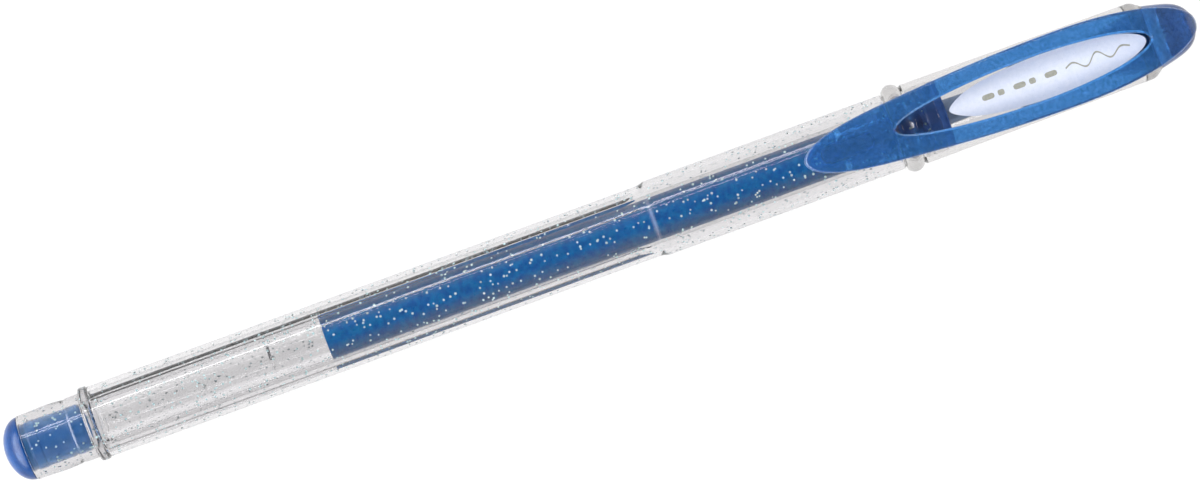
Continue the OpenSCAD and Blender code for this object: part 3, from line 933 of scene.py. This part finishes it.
# %% Make the gripping rib
RIB_UNDER_FROM, RIB_UNDER_TO, RIB_UNDER_HALF = PEN_END - 47.1, PEN_END - 40.6, 1.1
RIB_LET_IN, RIB_STRAIGHT, RIB_BELLY = 0.15, 0.2, 0.75


def pill_rings(steps=14, around=64):
    """Rings of a pill seen from above, shrinking towards its belly along a quarter circle."""
    a = np.linspace(0, 2 * np.pi, around, endpoint=False)
    straight = (RIB_UNDER_TO - RIB_UNDER_FROM) / 2 - RIB_UNDER_HALF
    middle = (RIB_UNDER_TO + RIB_UNDER_FROM) / 2
    drop = np.linspace(0, 1, steps)
    size = np.concatenate([[1.0], np.sqrt(1 - (drop * 0.97) ** 2)])[:, None]
    depth = np.concatenate([[0.0], RIB_STRAIGHT + RIB_BELLY * drop])[:, None]
    ends_of_pill = straight * np.sign(np.cos(a)) * (np.abs(np.cos(a)) > 1e-9)
    place = middle + ends_of_pill + RIB_UNDER_HALF * size * np.cos(a)
    across = RIB_UNDER_HALF * size * np.sin(a)
    up = np.broadcast_to(CLIP_UNDER + RIB_LET_IN - depth, across.shape)
    return in_metres(np.stack([place, across, up], 2)), middle


rib_rings, rib_middle = pill_rings()
rib_top, rib_belly = CLIP_UNDER + RIB_LET_IN, CLIP_UNDER - 0.81
rib = skin("clip_rib", rib_rings, spot(rib_middle, 0, rib_top), spot(rib_middle, 0, rib_belly))
dress(rib, CLIP_BLUE, "clip", "blue_clip")

# %% [markdown]
# ## Label
# A white oval is printed on the cap, so that it shows in the clip's window. A print is a layer of
# ink a few hundredths of a millimetre thick. It could be a texture on the cap, but on clear plastic
# it would need a mask, so it is a thin closed sheet that is bent over the cap.

# %% Bend the oval onto the cap
LABEL_FROM, LABEL_TO = ends("label_panel")
LABEL_HALF, LABEL_THICK = radius("label_panel"), 0.09


def cap_surface(place, across, above):
    """The height over the axis of a point that lies above the cap's outside: the cap's radius at
    that place, with the height found from the circle through it."""
    share = (place - RIM_AT) / (CHAMFER_FROM - RIM_AT)
    r = CAP_RIM_R + (CAP_END_R - CAP_RIM_R) * share + above
    return np.sqrt(np.maximum(r * r - across * across, 0.01))


def wrapped(name, place, half, low, high, middle=0.0, across_steps=16):
    """A thin closed sheet on the cap: each ring goes over the top from side to side and back
    underneath. place and half are lists along the shape, and middle is its centre line."""
    middle = np.broadcast_to(middle, place.shape)
    go = np.linspace(-1, 1, across_steps)
    across = middle[:, None] + half[:, None] * np.concatenate([go, go[::-1]])[None]
    lift = np.concatenate([np.full(across_steps, high), np.full(across_steps, low)])[None]
    up = cap_surface(place[:, None], across, lift)
    rings = in_metres(np.stack(np.broadcast_arrays(place[:, None], across, up), 2))
    return skin(name, rings, rings[0].mean(0), rings[-1].mean(0))


share = (1 - np.cos(np.linspace(0.04, np.pi - 0.04, 60))) / 2
label_place = LABEL_FROM + share * (LABEL_TO - LABEL_FROM)
draw_out = 1 - 0.3 * np.clip(1 - 2 * share, 0, 1) ** 10
label_half = LABEL_HALF * 2 * np.sqrt(share * (1 - share)) * draw_out
label = wrapped("label_oval", label_place, label_half, 0.004, LABEL_THICK)
dress(label, LABEL, "cap", "label_white", "label_panel")

# %% [markdown]
# ## Marks on the label
# On the white oval are a few plain marks in grey: a wave, as a pen draws it, and a row of short
# dashes. They say nothing. They are thinner sheets of the same kind, sunk a little into the oval so
# that no gap shows between the two prints.

# %% Print a wave and dashes
WAVE_FROM, WAVE_TO, WAVE_HIGH, WAVE_HALF = PEN_END - 16.6, PEN_END - 8.6, 0.62, 0.11
DASH_FROM, DASH_PITCH, DASH_HALF = PEN_END - 27.0, 1.95, 0.34
PRINT_LOW, PRINT_HIGH = LABEL_THICK - 0.004, LABEL_THICK + 0.008
along = np.linspace(0, 1, 90)
wave_line = WAVE_HIGH * np.sin(along * np.pi * 5.0) * np.sin(np.pi * (0.12 + 0.8 * along))
wave_place = WAVE_FROM + along * (WAVE_TO - WAVE_FROM)
wave = wrapped("label_wave", wave_place, np.full(90, WAVE_HALF), PRINT_LOW, PRINT_HIGH,
               wave_line, 4)
dress(wave, PRINT, "cap", "label_white")
bow = DASH_HALF * np.sqrt(1 - np.linspace(-0.96, 0.96, 9) ** 6)
for k, length in enumerate((1.5, 0.8, 1.5, 0.8, 1.5)):
    dash_place = DASH_FROM + DASH_PITCH * k + np.linspace(0, length, 9)
    dash = wrapped(f"label_dash_{k + 1}", dash_place, bow, PRINT_LOW, PRINT_HIGH, 0.0, 4)
    dress(dash, PRINT, "cap", "label_white")

# %% [markdown]
# ## Floor
# Clear plastic shows what is behind it, so the floor is part of the look. It is a pale card that is
# lit from below, like a light table: its own glow keeps it even under the pen, and a little diffuse
# white on top leaves a trace of a shadow.

# %% Lay the floor
FLOOR_HALF, FLOOR_Z = 2, -0.0002
floor_mesh = bpy.data.meshes.new("floor")
floor_corners = [(FLOOR_HALF * x, FLOOR_HALF * y, FLOOR_Z)
                 for x, y in ((-1, -1), (1, -1), (1, 1), (-1, 1))]
floor_mesh.from_pydata(floor_corners, [], [(0, 1, 2, 3)])
floor = bpy.data.objects.new("floor", floor_mesh)
bpy.context.scene.collection.objects.link(floor)
floor_finish, floor_tree, floor_shader = new_finish(
    "floor_card", Roughness=0.9, Specular_IOR_Level=0.0,
    Emission_Color=(1, 1, 1, 1), Emission_Strength=0.88)
floor_tint = tint(floor_tree, noise(floor_tree, 0.02), (0.15, 0.15, 0.15), (0.17, 0.17, 0.17))
floor_tree.links.new(floor_tint, floor_shader.inputs["Base Color"])
floor_mesh.materials.append(floor_finish)
print("floor:", floor_finish.name)

# %% [markdown]
# ## Sky
# A round shell mirrors only a narrow strip of the sky, straight across the pen. So the sky is dim
# right overhead, where its mirror image would lie as a veil on the ink, and brighter on both sides.
# Light for the ink, the label and the clip comes from a wide screen behind the tail, which the
# shells don't mirror towards the camera. A world made of a few ramps does all of it.

# %% Hang the sky
sky = bpy.data.worlds.new("studio")
bpy.context.scene.world = sky
sky.use_nodes = True
sky_nodes, sky_links = sky.node_tree.nodes, sky.node_tree.links
direction = sky_nodes.new("ShaderNodeTexCoord")
apart = sky_nodes.new("ShaderNodeSeparateXYZ")
sky_links.new(direction.outputs["Generated"], apart.inputs["Vector"])


def sky_math(kind, first, second=None):
    """One sum, product or size of a socket and a socket or number."""
    node = sky_nodes.new("ShaderNodeMath")
    node.operation = kind
    sky_links.new(first, node.inputs[0])
    if isinstance(second, float):
        node.inputs[1].default_value = second
    elif second is not None:
        sky_links.new(second, node.inputs[1])
    return node.outputs["Value"]


def sky_range(value, start, stop, low, high):
    """A smooth step from low to high while the value goes from start to stop."""
    node = sky_nodes.new("ShaderNodeMapRange")
    node.interpolation_type = "SMOOTHSTEP"
    names = ("From Min", "From Max", "To Min", "To Max")
    for socket, number in zip(names, (start, stop, low, high)):
        node.inputs[socket].default_value = number
    sky_links.new(value, node.inputs["Value"])
    return node.outputs["Result"]


height = sky_nodes.new("ShaderNodeValToRGB")
sky_links.new(apart.outputs["Z"], height.inputs["Fac"])
stops = ((0.0, 0.3), (0.12, 0.4), (0.3, 0.4), (0.5, 0.38), (0.78, 0.34), (0.89, 0.1),
         (0.94, 0.03), (1.0, 0.03))
height.color_ramp.elements.remove(height.color_ramp.elements[1])
for k, (at, level) in enumerate(stops):
    stop = height.color_ramp.elements[0] if k == 0 else height.color_ramp.elements.new(at)
    stop.position, stop.color = at, (level, level, level, 1)
behind_tail = sky_range(apart.outputs["X"], -0.75, -0.25, 4.6, 0.0)
above_floor = sky_range(apart.outputs["Z"], 0.15, 0.35, 0.2, 1.0)
far_side = sky_range(apart.outputs["Y"], -0.3, 0.5, 0.65, 1.0)
screen = sky_math("MULTIPLY", behind_tail, above_floor)
sides = sky_math("MULTIPLY", height.outputs["Color"], far_side)
sky_links.new(sky_math("ADD", screen, sides), sky_nodes["Background"].inputs["Color"])
sky_nodes["Background"].inputs["Strength"].default_value = 1.5
print("sky:", len(sky_nodes), "nodes")

# %% [markdown]
# ## Lamp
# One long narrow soft box stands beyond the pen, halfway up. Its mirror image is the thin white
# line that runs the length of the barrel. A round lamp would only give a spot.

# %% Place the lamp
lamp_data = bpy.data.lights.new("softbox", "AREA")
lamp_data.shape, lamp_data.size, lamp_data.size_y = "RECTANGLE", 0.9, 0.08
lamp_data.energy = 1.8
lamp = bpy.data.objects.new("softbox", lamp_data)
lamp.location = (-0.15, 0.75, 0.75)
lamp.rotation_euler = (Vector((0, 0, 0)) - lamp.location).to_track_quat("-Z", "Y").to_euler()
bpy.context.scene.collection.objects.link(lamp)
print(f"lamp: {lamp_data.energy} W")

# %% [markdown]
# ## Camera
# The camera looks straight down from far off through a long lens, so that both ends of the pen have
# the same scale, and it is turned so that the pen rises to the right. Light has to cross up to a
# dozen walls of plastic twice, so the light paths are long. With fewer bounces the inner pieces go
# black.

# %% Place the camera
LENS, SENSOR, FIELD_WIDTH, PEN_TILT = 150.0, 36.0, 0.1417, math.radians(20.065)
AIM = Vector(spot(74.55, -0.26))
camera_data = bpy.data.cameras.new("camera")
camera_data.lens, camera_data.sensor_width = LENS, SENSOR
camera = bpy.data.objects.new("camera", camera_data)
camera.location = AIM + Vector((0, 0, FIELD_WIDTH * LENS / SENSOR))
camera.rotation_euler = (0, 0, -PEN_TILT)
bpy.context.scene.collection.objects.link(camera)
bpy.context.scene.camera = camera
bpy.context.scene.view_settings.view_transform = "Standard"
paths = bpy.context.scene.cycles
paths.max_bounces = paths.transmission_bounces = 40
paths.glossy_bounces = paths.diffuse_bounces = 8
print("light paths:", paths.max_bounces, "bounces at most")
